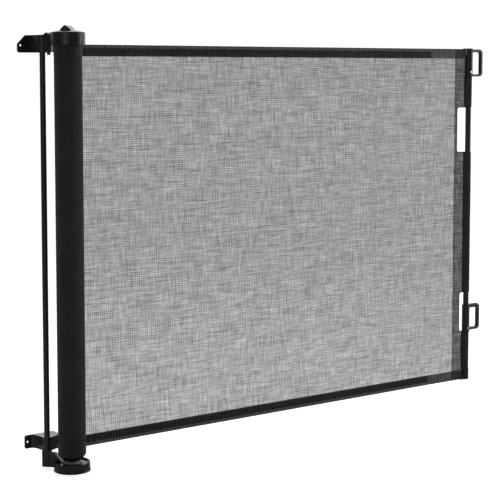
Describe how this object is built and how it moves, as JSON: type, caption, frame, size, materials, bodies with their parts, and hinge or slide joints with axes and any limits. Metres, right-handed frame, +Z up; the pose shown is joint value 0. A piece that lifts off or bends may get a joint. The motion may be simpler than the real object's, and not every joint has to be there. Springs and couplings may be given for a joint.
{
  "type": "retractable safety gate",
  "caption": "Wall-mounted retractable mesh safety gate: spring roller with locking knob, wall brackets on a rod, see-through mesh, pull bar with latch loops.",
  "frame": {"origin": "on the wall plane, midway between the two screw holes of the lower wall bracket", "axes": "+X along the wall from the roller towards the pull bar, +Y into the wall, +Z up"},
  "size_m": [1.266, 0.119, 0.9101],
  "materials": {
    "moulded_plastic": "fine-textured black moulded plastic",
    "inner_plastic": "natural nylon, hidden parts",
    "coated_steel": "satin black powder coat",
    "steel": "bright zinc",
    "roller_aluminium": "mill finish",
    "mesh_fabric": "open plain-weave coated polyester mesh, black",
    "binding_webbing": "black woven polyester webbing"
  },
  "bodies": {
    "wall_frame": {"top_wall_bracket": "moulded_plastic", "bottom_wall_bracket": "moulded_plastic", "support_rod": "coated_steel", "rod_grub_screws": "steel", "head_housing": "moulded_plastic", "head_fixing_screw": "steel", "head_bush": "inner_plastic", "knob_guide_plate": "inner_plastic", "guide_plate_screws": "steel", "pawl_pin": "steel", "pawl_spring": "steel", "foot_housing": "moulded_plastic", "foot_bush": "inner_plastic", "foot_cover": "moulded_plastic", "foot_cover_screws": "steel", "spring_shaft": "steel", "shaft_nut": "steel", "spring_fixed_collar": "inner_plastic", "mesh_panel": "mesh_fabric", "panel_top_binding": "binding_webbing", "panel_bottom_binding": "binding_webbing", "knob_spring": "steel"},
    "roller": {"roller_tube": "roller_aluminium", "roller_top_plug": "moulded_plastic", "roller_bottom_plug": "moulded_plastic", "ratchet_wheel": "inner_plastic", "spring_drive_collar": "inner_plastic", "torsion_spring": "steel", "mesh_anchor_strip": "inner_plastic", "wound_mesh": "mesh_fabric", "wound_top_binding": "binding_webbing", "wound_bottom_binding": "binding_webbing"},
    "pull_bar_set": {"pull_bar": "coated_steel", "upper_latch": "moulded_plastic", "lower_latch": "moulded_plastic", "latch_screws": "steel", "bar_top_cap": "moulded_plastic", "bar_bottom_cap": "moulded_plastic", "hem_band": "mesh_fabric", "upper_sleeve": "mesh_fabric", "middle_sleeve": "mesh_fabric", "lower_sleeve": "mesh_fabric", "top_corner_tab": "binding_webbing", "bottom_corner_tab": "binding_webbing"},
    "knob_carrier": {"knob_sleeve": "inner_plastic"},
    "knob": {"lock_knob": "moulded_plastic", "knob_cam": "inner_plastic", "cam_cross_pin": "steel"},
    "pawl": {"lock_pawl": "inner_plastic"}
  },
  "joints": [
    {"name": "bar_slide", "type": "slide", "parent": "wall_frame", "child": "pull_bar_set", "axis": [-1, 0, 0], "range_m": [0, 1.08], "deforming": ["mesh_panel", "panel_top_binding", "panel_bottom_binding", "torsion_spring"]},
    {"name": "roller_spin", "type": "hinge", "parent": "wall_frame", "child": "roller", "pos_m": [0.035, -0.081, 0], "axis": [0, 0, 1], "range_deg": [0, 2100]},
    {"name": "knob_press", "type": "slide", "parent": "wall_frame", "child": "knob_carrier", "axis": [0, 0, -1], "range_m": [0, 0.003], "stiffness_N_per_m": 1500, "springref_m": -0.001, "deforming": ["knob_spring"]},
    {"name": "knob_turn", "type": "hinge", "parent": "knob_carrier", "child": "knob", "pos_m": [0.035, -0.081, 0.835], "axis": [0, 0, 1], "range_deg": [0, 90]},
    {"name": "pawl_swing", "type": "hinge", "parent": "wall_frame", "child": "pawl", "pos_m": [0.04675, -0.10135, 0.828], "axis": [0, 0, 1], "range_deg": [0, 10], "deforming": ["pawl_spring"]}
  ],
  "couplings": [
    {"joint": "roller_spin", "follows": "bar_slide", "rad_per_m": 33.937},
    {"joint": "pawl_swing", "follows": "knob_turn", "ratio": 0.11111}
  ]
}
